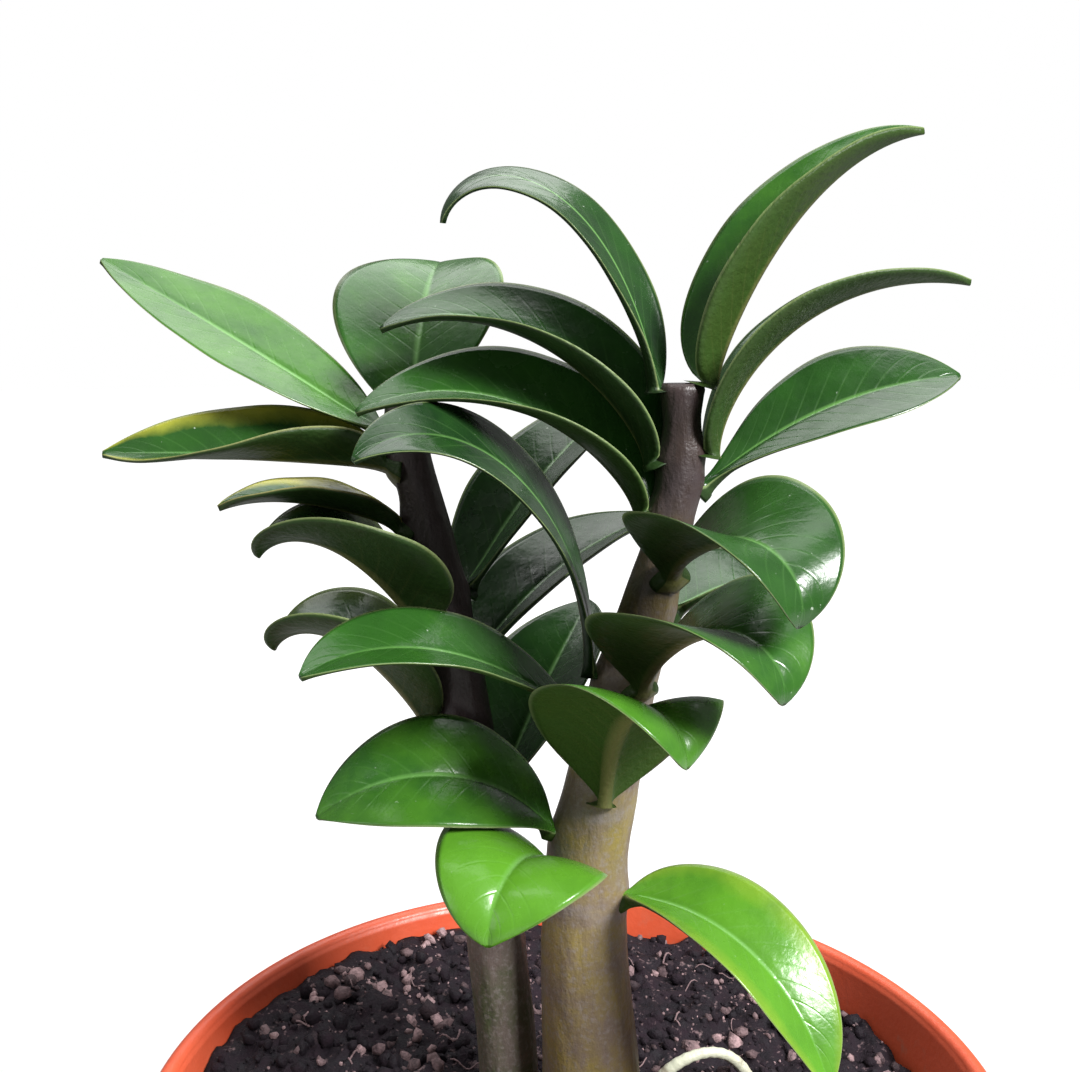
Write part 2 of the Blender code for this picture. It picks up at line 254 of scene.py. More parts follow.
def pot_profile():
    """From the axis out over the floor, up the inside, over the lip and down the outside."""
    lip_radius = LIP_WIDTH / 2
    lip_height = POT_HEIGHT - lip_radius
    inside = [(0, FLOOR_TOP), (wall_inner_radius(FLOOR_TOP), FLOOR_TOP)]
    inside.append((wall_inner_radius(lip_height - MM), lip_height - MM))
    inside.append((wall_inner_radius(lip_height), lip_height))
    lip = []
    for step in range(1, 16):
        angle = math.pi * (1 - step / 16)
        x = RIM_RADIUS - lip_radius + lip_radius * math.cos(angle)
        lip.append((x, lip_height + lip_radius * math.sin(angle)))
    collar_foot = POT_HEIGHT - COLLAR_HEIGHT
    outside = [(RIM_RADIUS, lip_height), (RIM_RADIUS - 0.15 * MM, lip_height - 1.2 * MM)]
    outside.append((RIM_RADIUS - 0.6 * MM, lip_height - 1.9 * MM))
    outside.append((RIM_RADIUS - COLLAR_DRAFT, collar_foot + 2 * MM))
    outside.append((RIM_RADIUS - COLLAR_DRAFT, collar_foot))
    outside.append((wall_inner_radius(collar_foot) + WALL, collar_foot))
    outside.append((wall_inner_radius(collar_foot - 2 * MM) + WALL, collar_foot - 2 * MM))
    for height in (FOOT_HEIGHT + 9 * MM, FOOT_HEIGHT + 8 * MM):
        step_in = 0.35 * MM if height < FOOT_HEIGHT + 8.5 * MM else 0
        outside.append((wall_inner_radius(height) + WALL - step_in, height))
    outside.append((FOOT_RADIUS, 0))
    outside.append((FOOT_RADIUS - FOOT_WIDTH, 0))
    outside.append((FOOT_RADIUS - FOOT_WIDTH - MM, FOOT_HEIGHT))
    outside.append((BOSS_RADIUS + MM, FOOT_HEIGHT))
    outside.append((BOSS_RADIUS, 0))
    outside.append((4 * MM, 0))
    outside.append((3.2 * MM, 0.6 * MM))
    outside.append((0, 0.6 * MM))
    return rounded(inside, 1.5 * MM, 5) + lip + rounded(outside, 0.8 * MM, 3)


def turned_mesh(name, profile, steps):
    """Spins a profile of (radius, height) points whose two ends lie on the axis."""
    bm = bmesh.new()
    first = bm.verts.new((0, 0, profile[0][1]))
    last = bm.verts.new((0, 0, profile[-1][1]))
    rings = []
    for radius, height in profile[1:-1]:
        ring = []
        for step in range(steps):
            angle = 2 * math.pi * step / steps
            ring.append(bm.verts.new((radius * math.cos(angle), radius * math.sin(angle), height)))
        rings.append(ring)
    for step in range(steps):
        after = (step + 1) % steps
        bm.faces.new((first, rings[0][step], rings[0][after]))
        for inner, outer in zip(rings, rings[1:]):
            bm.faces.new((inner[step], outer[step], outer[after], inner[after]))
        bm.faces.new((rings[-1][step], last, rings[-1][after]))
    bmesh.ops.recalc_face_normals(bm, faces=bm.faces)
    mesh = bpy.data.meshes.new(name)
    bm.to_mesh(mesh)
    bm.free()
    mesh.shade_smooth()
    return mesh


def drilled_mesh(mesh):
    """Cuts the drain holes through the floor."""
    drill = bmesh.new()
    for hole in range(DRAIN_HOLES):
        angle = 2 * math.pi * hole / DRAIN_HOLES
        bit = bmesh.ops.create_cone(
            drill,
            cap_ends=True,
            segments=48,
            radius1=DRAIN_HOLE_RADIUS,
            radius2=DRAIN_HOLE_RADIUS,
            depth=4 * FLOOR_TOP,
        )
        centre = Vector((math.cos(angle), math.sin(angle), 0)) * DRAIN_CIRCLE_RADIUS
        bmesh.ops.translate(drill, verts=bit["verts"], vec=centre)
    bit_mesh = bpy.data.meshes.new("drain_bits")
    drill.to_mesh(bit_mesh)
    drill.free()
    bits = bpy.data.objects.new("drain_bits", bit_mesh)
    blank = bpy.data.objects.new("pot_blank", mesh)
    bpy.context.scene.collection.objects.link(bits)
    bpy.context.scene.collection.objects.link(blank)
    cut = blank.modifiers.new("drain_holes", "BOOLEAN")
    cut.object = bits
    cut.solver = "EXACT"
    evaluated = blank.evaluated_get(bpy.context.evaluated_depsgraph_get())
    drilled = bpy.data.meshes.new_from_object(evaluated)
    bpy.data.objects.remove(bits)
    bpy.data.objects.remove(blank)
    drilled.materials.clear()
    drilled.shade_smooth()
    drilled.set_sharp_from_angle(angle=math.radians(40))
    return drilled


def terracotta_plastic():
    material, tree, shader = start_material("terracotta_plastic", 0.42, IOR=1.49)
    place = place_of(tree)
    height = height_of(tree, place)
    cloudy = blotches(tree, place, 0.018, 0.5, 0.5)
    colour = blend_colours(tree, maths(tree, "MULTIPLY", cloudy, 0.35), POT_RED, POT_PALE)
    splashes = blotches(tree, place, 0.006, 0.36, 0.1)
    near_soil = maths(tree, "MULTIPLY", between(tree, height, 0.129, 0.119), 0.55)
    colour = blend_colours(tree, maths(tree, "MULTIPLY", splashes, near_soil), colour, POT_DUST)
    low_down = between(tree, height, 0.03, 0.0)
    foot_dust = maths(tree, "MULTIPLY", low_down, blotches(tree, place, 0.01, 0.5, 0.3))
    colour = blend_colours(tree, maths(tree, "MULTIPLY", foot_dust, 0.5), colour, POT_DUST)
    rubbed = blotches(tree, place, 0.004, 0.42, 0.3)
    roughness = between(tree, rubbed, 0, 1, 0.34, 0.52)
    normal = bumped(tree, grain(tree, place, 0.0012), 0.00012, 0.6)
    plug(tree, shader, Base_Color=colour, Roughness=roughness, Normal=normal)
    return material


add_piece(
    "nursery_pot",
    drilled_mesh(turned_mesh("nursery_pot", pot_profile(), POT_STEPS)),
    [terracotta_plastic()],
    "terracotta_plastic",
    "pot",
)

# Soil
# Dark, damp potting mix that fills the pot to just under its lip. It lies uneven, higher at the back
# left, and its top is broken into crumbs with paler, drier ones and a few fibres among them.
SOIL_LEVEL = 121 * MM
SOIL_SIDE_GAP = 0.4 * MM
SOIL_RINGS = 110
SOIL_STEPS = 260
SOIL_DARK = (0.0030, 0.0013, 0.0038, 1)
SOIL_BROWN = (0.012, 0.0060, 0.010, 1)
SOIL_DRY = (0.34, 0.225, 0.23, 1)
CRUMBS = 4600
LEAST_CRUMB = 0.3 * MM
CRUMB_SPREAD = 1.9 * MM
CRUMB_WALL_GAP = 1.6 * MM
SOIL_SLOPE = 0.035
SOIL_ROUGHNESS = 0.9 * MM
CLOD_HEIGHT = 2.0 * MM
GRIT_HEIGHT = 0.8 * MM
FIBRES = 70
SOIL_SEED = 7


def soil_height(x, y):
    """The heaved top of the soil, as the part has it."""
    slope = (y - 1.3 * x) * SOIL_SLOPE
    lumps = noise.noise(Vector((x, y, 0)) / (14 * MM)) * 1.6
    small = noise.noise(Vector((x, y, 5 * MM)) / (5 * MM))
    return SOIL_LEVEL + slope + (lumps + small) * SOIL_ROUGHNESS


def crumbled_height(x, y):
    clods = noise.noise(Vector((x, y, 11 * MM)) / (4.2 * MM))
    grit = noise.noise(Vector((x, y, 17 * MM)) / (1.5 * MM))
    return soil_height(x, y) + clods * CLOD_HEIGHT + grit * GRIT_HEIGHT


def soil_bed_mesh():
    """The uneven top, in rings out to the pot's wall, and the plug below it down to the floor."""
    bm = bmesh.new()
    centre = bm.verts.new((0, 0, crumbled_height(0, 0)))
    foot = bm.verts.new((0, 0, FLOOR_TOP + SOIL_SIDE_GAP))
    rings = []
    for ring in range(1, SOIL_RINGS + 1):
        row = []
        for step in range(SOIL_STEPS):
            angle = 2 * math.pi * step / SOIL_STEPS
            radius = (wall_inner_radius(SOIL_LEVEL) - SOIL_SIDE_GAP) * ring / SOIL_RINGS
            x, y = radius * math.cos(angle), radius * math.sin(angle)
            z = crumbled_height(x, y)
            if ring == SOIL_RINGS:
                room = (wall_inner_radius(z) - SOIL_SIDE_GAP) / radius
                x, y = x * room, y * room
            row.append(bm.verts.new((x, y, z)))
        rings.append(row)
    for height in (SOIL_LEVEL - 12 * MM, FLOOR_TOP + 3 * MM, FLOOR_TOP + SOIL_SIDE_GAP):
        radius = wall_inner_radius(height) - SOIL_SIDE_GAP - (1.6 * MM if height < 7 * MM else 0)
        row = []
        for step in range(SOIL_STEPS):
            angle = 2 * math.pi * step / SOIL_STEPS
            row.append(bm.verts.new((radius * math.cos(angle), radius * math.sin(angle), height)))
        rings.append(row)
    for step in range(SOIL_STEPS):
        after = (step + 1) % SOIL_STEPS
        bm.faces.new((centre, rings[0][step], rings[0][after]))
        for inner, outer in zip(rings, rings[1:]):
            bm.faces.new((inner[step], outer[step], outer[after], inner[after]))
        bm.faces.new((rings[-1][step], foot, rings[-1][after]))
    bmesh.ops.recalc_face_normals(bm, faces=bm.faces)
    mesh = bpy.data.meshes.new("soil_bed")
    bm.to_mesh(mesh)
    bm.free()
    mesh.shade_smooth()
    return mesh


def crumbs_mesh(draw):
    """Loose crumbs that lie half sunk in the top, each with its own shape, size and dryness."""
    shape = bmesh.new()
    bmesh.ops.create_icosphere(shape, subdivisions=1, radius=1)
    ball = np.array([vertex.co for vertex in shape.verts])
    triangles = np.array([[vertex.index for vertex in face.verts] for face in shape.faces])
    shape.free()
    points, faces, dryness = [], [], []
    for crumb in range(CRUMBS):
        angle = draw.uniform(0, 2 * math.pi)
        reach = math.sqrt(draw.uniform(0, 1)) * (wall_inner_radius(SOIL_LEVEL) - CRUMB_WALL_GAP)
        size = LEAST_CRUMB + CRUMB_SPREAD * draw.uniform(0, 1) ** 4
        x, y = reach * math.cos(angle), reach * math.sin(angle)
        z = crumbled_height(x, y) + size * draw.uniform(-0.3, 0.5)
        lumps = 1 + draw.uniform(-0.3, 0.3, (len(ball), 1))
        turn, _ = np.linalg.qr(draw.normal(size=(3, 3)))
        body = (ball * lumps * draw.uniform(0.55, 1.1, 3)) @ turn * size
        faces.extend((triangles + len(points) * len(ball)).tolist())
        points.append(body + np.array((x, y, z)))
        patch = noise.noise(Vector((x, y, 0)) / (9 * MM))
        dryness.append(np.full(len(ball), np.clip(draw.uniform(-1.3, 0.9) + 1.1 * patch, 0, 1)))
    mesh = bpy.data.meshes.new("soil_crumbs")
    mesh.from_pydata(np.concatenate(points).tolist(), [], faces)
    mesh.attributes.new("dryness", "FLOAT", "POINT").data.foreach_set("value", np.concatenate(dryness))
    mesh.shade_smooth()
    return mesh


def tube_rows(points, radii, sides):
    """Rings of points round a path, kept from twisting."""
    rows = []
    side = None
    for index, point in enumerate(points):
        ahead = points[min(index + 1, len(points) - 1)] - points[max(index - 1, 0)]
        ahead = ahead.normalized()
        if side is None:
            side = ahead.orthogonal().normalized()
        side = (side - ahead * side.dot(ahead)).normalized()
        across = ahead.cross(side)
        row = []
        for step in range(sides):
            angle = 2 * math.pi * step / sides
            row.append(point + (side * math.cos(angle) + across * math.sin(angle)) * radii[index])
        rows.append(row)
    return rows


def skin_rows(bm, rows):
    """Joins rings of points into a closed skin, with a fan at each end."""
    made = [[bm.verts.new(point) for point in row] for row in rows]
    for near, far in zip(made, made[1:]):
        for step in range(len(near)):
            after = (step + 1) % len(near)
            bm.faces.new((near[step], near[after], far[after], far[step]))
    for row, ring in ((rows[0], made[0]), (rows[-1], made[-1])):
        middle = bm.verts.new(sum(row, Vector()) / len(row))
        for step in range(len(ring)):
            bm.faces.new((ring[step], ring[(step + 1) % len(ring)], middle))
    return made


def fibres_mesh(draw):
    """Thin curved bits of root and coir that lie on the crumbs."""
    bm = bmesh.new()
    for fibre in range(FIBRES):
        angle = draw.uniform(0, 2 * math.pi)
        reach = math.sqrt(draw.uniform(0, 1)) * (wall_inner_radius(SOIL_LEVEL) - 8 * MM)
        x, y = reach * math.cos(angle), reach * math.sin(angle)
        heading = draw.uniform(0, 2 * math.pi)
        bend = draw.uniform(-0.35, 0.35)
        length = draw.uniform(3, 9) * MM
        points = []
        for step in range(9):
            points.append(Vector((x, y, soil_height(x, y) + (1.0 + 0.7 * math.sin(step)) * MM)))
            x += math.cos(heading) * length / 8
            y += math.sin(heading) * length / 8
            heading += bend
        if max(math.hypot(point.x, point.y) for point in points) < wall_inner_radius(SOIL_LEVEL) - 2 * MM:
            skin_rows(bm, tube_rows(points, [draw.uniform(0.1, 0.22) * MM] * 9, 6))
    bmesh.ops.recalc_face_normals(bm, faces=bm.faces)
    mesh = bpy.data.meshes.new("soil_fibres")
    bm.to_mesh(mesh)
    bm.free()
    mesh.shade_smooth()
    return mesh


def potting_soil(name, dry_amount):
    material, tree, shader = start_material(name, 0.9, Specular_IOR_Level=0.25)
    place = place_of(tree)
    damp = blotches(tree, place, 0.004, 0.5, 0.3)
    colour = blend_colours(tree, damp, SOIL_DARK, SOIL_BROWN)
    if dry_amount is None:
        dry = add_node(tree, "ShaderNodeAttribute", {}, attribute_name="dryness").outputs["Fac"]
        dry = maths(tree, "MULTIPLY", dry, blotches(tree, place, 0.0012, 0.62, 0.4))
    else:
        dry = maths(tree, "MULTIPLY", blotches(tree, place, 0.0016, dry_amount, 0.15), 0.5)
    colour = blend_colours(tree, dry, colour, SOIL_DRY)
    roughness = between(tree, damp, 0, 1, 0.62, 0.95)
    normal = bumped(tree, grain(tree, place, 0.0006), 0.0004)
    plug(tree, shader, Base_Color=colour, Roughness=roughness, Normal=normal)
    return material


soil_draw = np.random.default_rng(SOIL_SEED)
add_piece("soil_bed", soil_bed_mesh(), [potting_soil("damp_soil", 0.33)], "potting_soil", "soil")
add_piece("soil_crumbs", crumbs_mesh(soil_draw), [potting_soil("crumbs", None)], "potting_soil")
add_piece("soil_fibres", fibres_mesh(soil_draw), [potting_soil("fibres", 0.8)], "potting_soil")

# Rhizome
# The swollen underground stem that both stems rise from. The soil covers it, so it keeps the part's
# own shape and only takes a corky, pale brown skin.
RHIZOME_TAN = (0.35, 0.26, 0.15, 1)
RHIZOME_BROWN = (0.16, 0.10, 0.06, 1)


def rhizome_skin():
    material, tree, shader = start_material("rhizome_skin", 0.7)
    place = place_of(tree)
    colour = blend_colours(tree, blotches(tree, place, 0.005, 0.5, 0.3), RHIZOME_TAN, RHIZOME_BROWN)
    normal = bumped(tree, grain(tree, place, 0.0015), 0.0004)
    plug(tree, shader, Base_Color=colour, Normal=normal)
    return material


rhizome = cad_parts["rhizome"]
rhizome.data.materials.clear()
rhizome.data.materials.append(rhizome_skin())

# Surface root
# One pale, round root that arches out of the soil and dips back in. Its skin is waxy grey-green,
# faintly ringed, and browner where it enters the soil.
ROOT_CENTRE = Vector((24, 12, 117)) * MM
ROOT_HALF_SPAN = 10 * MM
ROOT_RISE = 11 * MM
ROOT_RADIUS = 1.05 * MM
ROOT_PALE = (0.46, 0.47, 0.36, 1)
ROOT_BROWN = (0.16, 0.12, 0.08, 1)


def surface_root_mesh():
    points, radii = [], []
    for step in range(61):
        angle = math.pi * (1 - step / 60)
        x = ROOT_HALF_SPAN * math.cos(angle)
        wander = 0.3 * MM * math.sin(step / 5)
        points.append(ROOT_CENTRE + Vector((x, 0.25 * x + wander, ROOT_RISE * math.sin(angle))))
        radii.append(ROOT_RADIUS * (1 + 0.05 * math.sin(step * 1.9) + 0.08 * math.sin(step / 7)))
    bm = bmesh.new()
    skin_rows(bm, tube_rows(points, radii, 20))
    bmesh.ops.recalc_face_normals(bm, faces=bm.faces)
    mesh = bpy.data.meshes.new("surface_root_skin")
    bm.to_mesh(mesh)
    bm.free()
    mesh.shade_smooth()
    return mesh


def root_skin():
    material, tree, shader = start_material("root_skin", 0.5)
    place = place_of(tree)
    soiled = between(tree, height_of(tree, place), 0.1245, 0.120)
    mask = maths(tree, "MAXIMUM", soiled, blotches(tree, place, 0.003, 0.34, 0.2))
    colour = blend_colours(tree, mask, ROOT_PALE, ROOT_BROWN)
    normal = bumped(tree, grain(tree, place, 0.0008), 0.0002)
    plug(tree, shader, Base_Color=colour, Normal=normal)
    return material


add_piece("pale_root", surface_root_mesh(), [root_skin()], "root_skin", "surface_root")

# Stems
# Two fleshy leaf stalks. The right one is stout, olive with purple-grey mottling and leaf scars, and
# swollen at its foot; the left one is thinner and darker. Towards the top, where they run in among the
# leaflets, both are drawn to a near-black purple-brown that is painted shade.
STEMS = {
    "right": (
        (3, -3, 108, 8.0),
        (3, -3, 122, 8.6),
        (3, -3, 134, 8.5),
        (1.5, -4, 158, 7.3),
        (2, -4, 176, 6.8),
        (4, -4, 185, 6.3),
        (7, -4, 201, 5.6),
        (10, -4, 212, 4.9),
        (14.5, -4, 228, 3.8),
        (16.5, -4, 240, 3.2),
        (16.5, -4, 253, 2.8),
    ),
    "left": (
        (-11.5, 5, 108, 5.0),
        (-11.5, 4, 122, 5.3),
        (-12, 3.5, 134, 5.3),
        (-14, 3, 156, 5.2),
        (-17, 3, 181, 5.0),
        (-19.5, 3, 199, 4.6),
        (-22, 3, 215, 4.2),
        (-24.5, 3, 228, 3.8),
        (-27, 3, 238, 3.4),
        (-29, 3, 250, 2.8),
    ),
}
STEM_STEP = 1.0 * MM
STEM_SIDES = 64
NODE_SWELL = 0.8 * MM
NODE_REACH = 2.6 * MM
SCAR_HEIGHT = 0.12 * MM
LUMP_HEIGHT = 0.16 * MM
RIB_HEIGHT = 0.05 * MM
STEM_OLIVE = (0.190, 0.145, 0.040, 1)
STEM_GREEN = (0.060, 0.072, 0.034, 1)
STEM_PURPLE = (0.125, 0.092, 0.085, 1)
# The near-black of painted shade where the stems run in among the leaflets.
STEM_TOP_SHADE = (0.022, 0.012, 0.014, 1)
STEM_SCAR = (0.200, 0.175, 0.165, 1)

# A leaflet leaves its stem at a height, in the direction heading (degrees, 0 along +X, 90 along +Y),
# which changes by turn on the way to its tip. It starts at the angle rise above level, bends down
# evenly by arch, and by hook more near the tip. roll and twist tilt the blade about its midrib, fold
# lifts its halves from the midrib and curl lifts their edges further. Lengths are in millimetres,
# broadest is the place of the greatest width along the length, the tone column is how bright its green
# is, partly the leaflet's own colour and partly painted shade and light: dark for the leaflets deep
# inside the plant, bright for the lit ones in front. yellow is how far its edge has yellowed.
Leaflet = namedtuple(
    "Leaflet",
    "stem height heading turn rise arch hook roll twist length width broadest"
    " fold_base fold_tip curl_base curl_tip tone yellow",
)
LEAFLETS = {
    "right_leaflet_01": ("right", 252, 180, 0, 80, 50, 115, -24, 0, 57, 15, 0.45, -5, -10, 50, 0, 0.15, 0),
    "right_leaflet_02": ("right", 253, 0, 0, 73, 33, 32, 14, 0, 52, 18, 0.38, 50, 25, 20, 10, 0.55, 0),
    "right_leaflet_03": ("right", 242, 0, 0, 78, 88, 0, -3, 0, 53, 17, 0.4, 15, 10, 20, 10, 0.4, 0),
    "right_leaflet_04": ("right", 237, 5, 0, 42, 38, 0, 36, 0, 45, 19, 0.62, 15, 10, 10, 0, 0.25, 0),
    "right_leaflet_05": ("right", 224, -75, 25, 32, 30, 120, 15, -15, 43, 28, 0.45, 40, 5, 15, 0, 0.35, 0),
    "right_leaflet_06": ("right", 206, -72, 30, 44, 30, 120, 10, -10, 43, 30, 0.45, 35, 5, 15, 0, 0.5, 0),
    "right_leaflet_07": ("right", 187, -86, 38, 72, 50, 125, -12, 0, 41, 30, 0.5, 35, 20, -35, -30, 0.7, 0),
    "right_leaflet_08": ("right", 241, 180, 0, 64, 70, 20, -20, 0, 53, 22, 0.42, 30, 5, 30, 10, 0.2, 0),
    "right_leaflet_09": ("right", 233, 186, 0, 60, 78, 10, -25, 0, 53, 22, 0.42, 30, 5, 30, 10, 0.35, 0),
    "right_leaflet_10": ("right", 206, 207, 5, 90, 75, 55, -30, 0, 66, 21, 0.48, 0, 5, 0, 10, 0.1, 0),
    "right_leaflet_11": ("right", 199, 201, 18, 44, 48, 20, -18, 0, 51, 19, 0.5, 12, 8, 10, 10, 0.45, 0),
    "right_leaflet_12": ("right", 169, -30, -14, 14, 85, 0, 12, 0, 46, 19, 0.45, 25, 15, 10, 0, 0.95, 0.15),
    "right_leaflet_13": ("right", 180, 206, -20, 58, 98, 0, -30, 0, 44, 23, 0.5, 20, 10, -10, -20, 0.6, 0),
    "right_leaflet_14": ("right", 171, 242, 8, 68, 105, 60, -12, 0, 36, 26, 0.52, 30, 15, -35, -30, 1, 0),
    "right_leaflet_15": ("right", 216, 30, 0, 25, 50, 0, 0, 0, 34, 22, 0.42, 15, 10, 20, 10, 0.2, 0),
    "left_leaflet_01": ("left", 195, 203, -30, 58, 25, 100, 0, 0, 36, 27, 0.52, 35, 15, 20, 10, 0.35, 0.1),
    "left_leaflet_02": ("left", 212, 226, -48, 56, 25, 90, 0, 0, 36, 29, 0.48, 30, 15, 15, 10, 0.3, 0.1),
    "left_leaflet_03": ("left", 230, 200, 0, 24, 25, 20, 0, 0, 30, 17, 0.42, 12, 10, 20, 10, 0.3, 0.8),
    "left_leaflet_04": ("left", 240, 190, 0, 5, 5, 0, 0, -40, 45, 18, 0.42, 60, 10, 10, 10, 0.3, 0.45),
    "left_leaflet_05": ("left", 245, 180, 0, 33, 3, 0, -28, 0, 53, 20, 0.5, 10, 5, 5, 0, 0.62, 0),
    "left_leaflet_06": ("left", 246, 86, 0, 68, 42, 20, 0, 0, 43, 31, 0.5, 20, 10, 15, 0, 0.5, 0),
    "left_leaflet_07": ("left", 218, 40, 0, 55, 30, 0, 0, 0, 52, 24, 0.42, 15, 10, 20, 10, 0.15, 0),
    "left_leaflet_08": ("left", 207, 35, 0, 47, 40, 0, 0, 0, 46, 24, 0.42, 15, 10, 20, 10, 0.15, 0),
    "left_leaflet_09": ("left", 183, 40, 30, 65, 40, 0, 0, 0, 40, 24, 0.42, 15, 10, 20, 10, 0.2, 0),
}
LEAFLETS = {name: Leaflet(*row) for name, row in LEAFLETS.items()}


def stem_at(stem, height):
    """The stem's centre and radius at a height in metres."""
    stations = np.array(STEMS[stem], float) * MM
    x, y, radius = (float(np.interp(height, stations[:, 2], stations[:, k])) for k in (0, 1, 3))
    return Vector((x, y, height)), radius


def smooth_stem_at(stem, height):
    """The same, evened out over the stations."""
    top = STEMS[stem][-1][2] * MM
    bottom = STEMS[stem][0][2] * MM
    total, radius, weights = Vector(), 0, 0
    for offset in (-4, -2, 0, 2, 4):
        reading = min(max(height + offset * MM, bottom), top)
        centre, here = stem_at(stem, reading)
        weight = 3 - abs(offset) / 2
        total += centre * weight
        radius += here * weight
        weights += weight
    centre = total / weights
    centre.z = height
    return centre, radius / weights


def stem_mesh(stem):
    """Rings up the stem, swollen under each leaflet, with a ridge round the old scars."""
    leaflets = [leaf for leaf in LEAFLETS.values() if leaf.stem == stem]
    bottom, top = STEMS[stem][0][2] * MM, STEMS[stem][-1][2] * MM
    rings = round((top - bottom) / STEM_STEP)
    bm = bmesh.new()
    scar_layer = bm.verts.layers.float.new("scar")
    rows, scars = [], []
    for ring in range(rings + 1):
        height = bottom + (top - bottom) * ring / rings
        centre, radius = smooth_stem_at(stem, height)
        row = []
        for step in range(STEM_SIDES):
            angle = 2 * math.pi * step / STEM_SIDES
            reach, scar = radius, 0
            for leaf in leaflets:
                rise = (height - leaf.height * MM) / NODE_REACH
                turn = (angle - math.radians(leaf.heading) + math.pi) % (2 * math.pi) - math.pi
                across = turn * radius / (1.15 * NODE_REACH)
                if abs(rise) > 3 or abs(across) > 3:
                    continue
                swell = math.exp(-(rise**2) - across**2)
                reach += NODE_SWELL * swell
                scar = max(scar, math.exp(-((rise + 1.3) ** 2) * 5) * math.exp(-(across**2) * 0.35))
            rough = noise.noise(Vector((angle * 2.2, height / (9 * MM), 0)))
            fine = noise.noise(Vector((angle * 9, height / (3 * MM), 4)))
            reach += rough * LUMP_HEIGHT + fine * RIB_HEIGHT + scar * SCAR_HEIGHT
            if ring == rings:
                reach -= 0.35 * MM
            row.append(centre + Vector((math.cos(angle), math.sin(angle), 0)) * reach)
            scars.append(scar)
        rows.append(row)
    cut_top = smooth_stem_at(stem, top)[0]
    last = rows[-1]
    rows.append([point.lerp(cut_top, 0.3) - Vector((0, 0, 0.3 * MM)) for point in last])
    rows.append([point.lerp(cut_top, 0.75) - Vector((0, 0, 0.9 * MM)) for point in last])
    made = skin_rows(bm, rows)
    flat = [vertex for row in made for vertex in row]
    for vertex, scar in zip(flat, scars):
        vertex[scar_layer] = scar
    bmesh.ops.recalc_face_normals(bm, faces=bm.faces)
    mesh = bpy.data.meshes.new(stem + "_stalk")
    bm.to_mesh(mesh)
    bm.free()
    mesh.shade_smooth()
    return mesh


def stem_skin(name, low_colour, shade_from, shade_to):
    material, tree, shader = start_material(name, 0.48)
    place = place_of(tree)
    height = height_of(tree, place)
    drawn = add_node(tree, "ShaderNodeMapping", {"Vector": place, "Scale": (1, 1, 0.35)}).outputs[0]
    mottling = blotches(tree, drawn, 0.0045, 0.47, 0.25)
    ringed = add_node(tree, "ShaderNodeMapping", {"Vector": place, "Scale": (0.3, 0.3, 1)}).outputs[0]
    bands = blotches(tree, ringed, 0.007, 0.47, 0.14)
    colour = blend_colours(tree, maths(tree, "MULTIPLY", mottling, 0.75), low_colour, STEM_PURPLE)
    colour = blend_colours(tree, maths(tree, "MULTIPLY", bands, 0.55), colour, STEM_PURPLE)
    specks = blotches(tree, place, 0.0009, 0.42, 0.16)
    colour = blend_colours(tree, maths(tree, "MULTIPLY", specks, 0.5), colour, STEM_SCAR)
    scar = add_node(tree, "ShaderNodeAttribute", {}, attribute_name="scar").outputs["Fac"]
    worn = maths(tree, "MULTIPLY", scar, blotches(tree, place, 0.0016, 0.62, 0.3))
    colour = blend_colours(tree, maths(tree, "MULTIPLY", worn, 0.8), colour, STEM_SCAR)
    # Painted shade: over the given band of heights the colour is drawn almost all the way to near-black,
    # where the stem runs in among its leaflets.
    upper = between(tree, height, shade_from, shade_to)
    colour = blend_colours(tree, maths(tree, "MULTIPLY", upper, 0.95), colour, STEM_TOP_SHADE)
    roughness = between(tree, mottling, 0, 1, 0.40, 0.60)
    coarse = bumped(tree, grain(tree, drawn, 0.0016), 0.0003)
    normal = bumped(tree, grain(tree, place, 0.0005), 0.00012, 0.7, coarse)
    plug(tree, shader, Base_Color=colour, Roughness=roughness, Normal=normal)
    return material


# Each stem's band of painted shade among its leaflets, as heights in metres.
right_skin = stem_skin("right_stem_skin", STEM_OLIVE, 0.200, 0.236)
left_skin = stem_skin("left_stem_skin", STEM_GREEN, 0.160, 0.195)
add_piece("right_stalk", stem_mesh("right"), [right_skin], "stem_skin", "right_stem")
add_piece("left_stalk", stem_mesh("left"), [left_skin], "stem_skin", "left_stem")

# Leaflets
# Fleshy oval blades that taper to a point, each on a short swollen neck that grows from its stem.
# The upper side is glossy with a sunk midrib and faint side veins; the underside is dull and olive
# with a raised midrib, and the edge is thin and pale.
STALK_HALF_WIDTH = 0.9 * MM
TIP_HALF_WIDTH = 0.35 * MM
STALK_STANDOFF = 0.9 * MM
BLADE_THICKNESS = 0.85 * MM
BLADE_SECTIONS = 64
BLADE_STRIPS = 24
NECK_RINGS = 5
NECK_WIDTH = 1.9 * MM
GROOVE_DEPTH = 0.30 * MM
GROOVE_WIDTH = 0.65 * MM
KEEL_HEIGHT = 0.55 * MM
EDGE_WAVE = 0.45 * MM
NECK_FLESH = 0.75 * MM
NECK_LENGTH = 0.05
# The darkest greens here are painted shade on the leaflets deep inside the plant; the brightest is partly
# painted light on the lit ones in front.
LEAF_SHADE_DARK = (0.006, 0.022, 0.006, 1)
LEAF_MID = (0.018, 0.074, 0.009, 1)
LEAF_BRIGHT = (0.070, 0.210, 0.014, 1)
LEAF_MIDRIB = (0.150, 0.340, 0.090, 1)
LEAF_EDGE = (0.230, 0.300, 0.120, 1)
LEAF_YELLOW = (0.520, 0.480, 0.050, 1)
LEAF_RUST = (0.220, 0.085, 0.035, 1)
UNDER_OLIVE = (0.036, 0.066, 0.010, 1)
UNDER_SHADE_DARK = (0.005, 0.011, 0.004, 1)
UNDER_MIDRIB = (0.150, 0.140, 0.050, 1)
LEAF_SPECK = (0.500, 0.560, 0.480, 1)


